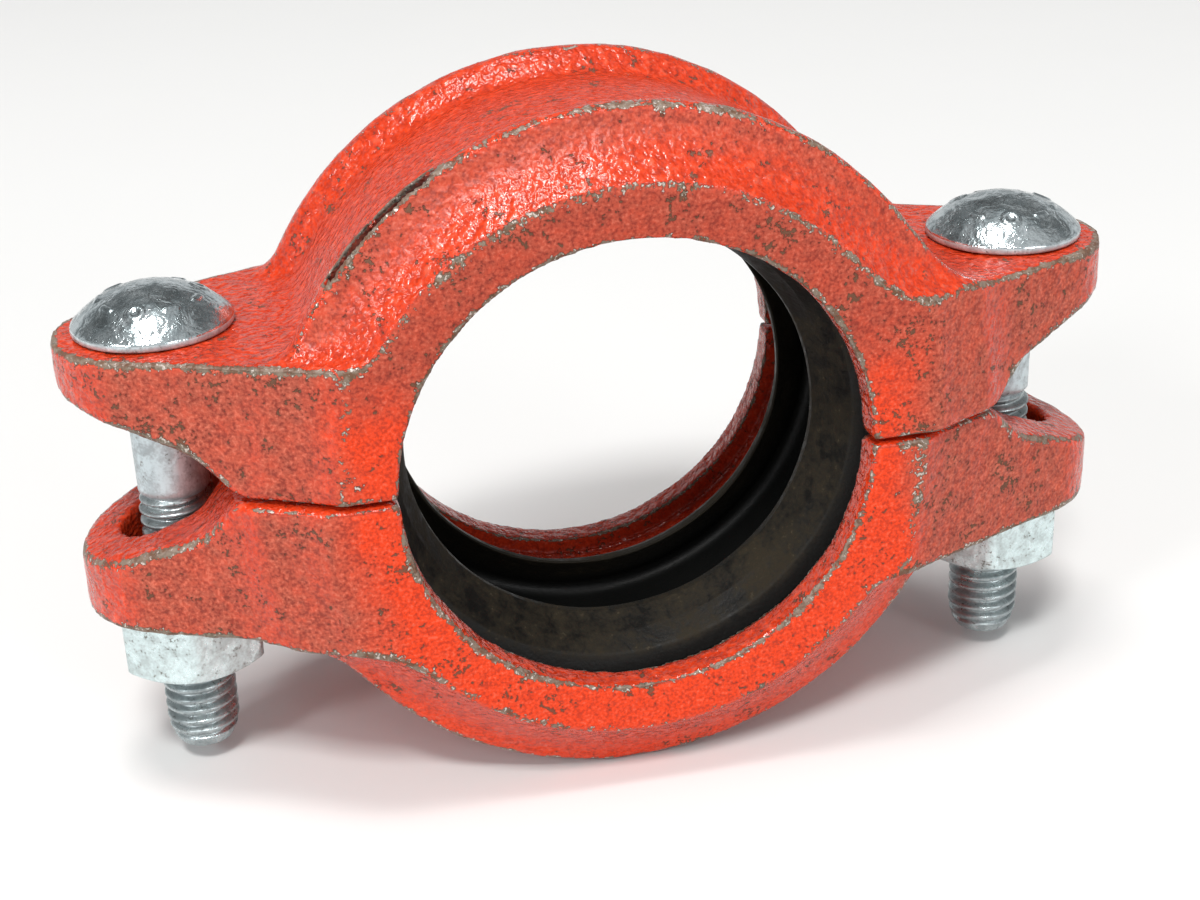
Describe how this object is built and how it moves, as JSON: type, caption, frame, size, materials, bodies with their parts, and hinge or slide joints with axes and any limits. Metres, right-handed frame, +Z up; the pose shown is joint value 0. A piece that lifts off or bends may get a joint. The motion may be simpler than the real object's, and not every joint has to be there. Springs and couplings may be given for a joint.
{
  "type": "grooved pipe coupling",
  "caption": "Grooved pipe coupling with split ring housings, a rubber lip gasket inside and an oval-neck bolt through the pads on each side.",
  "frame": {"origin": "centre of the ring, on the pipe axis and in the plane where the two housings meet", "axes": "+X from the left bolt to the right bolt, +Y along the pipe axis away from the viewed face, +Z up through the bolt heads"},
  "size_m": [0.1358, 0.0466, 0.0876],
  "materials": {
    "enamelled_iron": "orange-red enamel over rough cast iron, chipped at the edges",
    "gasket_rubber": "satin black, dusty",
    "bolt_zinc": "bright zinc plate",
    "nut_zinc": "pale satin zinc plate"
  },
  "bodies": {
    "lower_housing": {"lower_housing": "enamelled_iron"},
    "upper_housing": {"upper_housing": "enamelled_iron"},
    "gasket": {"gasket": "gasket_rubber"},
    "left_bolt": {"left_bolt": "bolt_zinc"},
    "right_bolt": {"right_bolt": "bolt_zinc"},
    "left_nut": {"left_nut": "nut_zinc"},
    "right_nut": {"right_nut": "nut_zinc"}
  },
  "joints": [
    {"name": "upper_housing_lift", "type": "slide", "parent": "lower_housing", "child": "upper_housing", "axis": [0, 0, 1], "range_m": [0, 0.01746]},
    {"name": "left_nut_turn", "type": "hinge", "parent": "lower_housing", "child": "left_nut", "pos_m": [-0.0553, 0, -0.024], "axis": [0, 0, -1], "range_deg": [0, 3960]},
    {"name": "right_nut_turn", "type": "hinge", "parent": "lower_housing", "child": "right_nut", "pos_m": [0.0553, 0, -0.024], "axis": [0, 0, -1], "range_deg": [0, 3960]},
    {"name": "left_bolt_lift", "type": "slide", "parent": "lower_housing", "child": "left_bolt", "axis": [0, 0, 1], "range_m": [0, 0.01746]},
    {"name": "right_bolt_lift", "type": "slide", "parent": "lower_housing", "child": "right_bolt", "axis": [0, 0, 1], "range_m": [0, 0.01746]},
    {"name": "gasket_lift", "type": "slide", "parent": "lower_housing", "child": "gasket", "axis": [0, 0, 1], "range_m": [0, 0.00873]}
  ],
  "couplings": [
    {"joint": "left_nut_turn", "follows": "upper_housing_lift", "rad_per_m": 3957.9},
    {"joint": "right_nut_turn", "follows": "upper_housing_lift", "rad_per_m": 3957.9},
    {"joint": "left_bolt_lift", "follows": "upper_housing_lift", "ratio": 1},
    {"joint": "right_bolt_lift", "follows": "upper_housing_lift", "ratio": 1},
    {"joint": "gasket_lift", "follows": "upper_housing_lift", "ratio": 0.5}
  ]
}
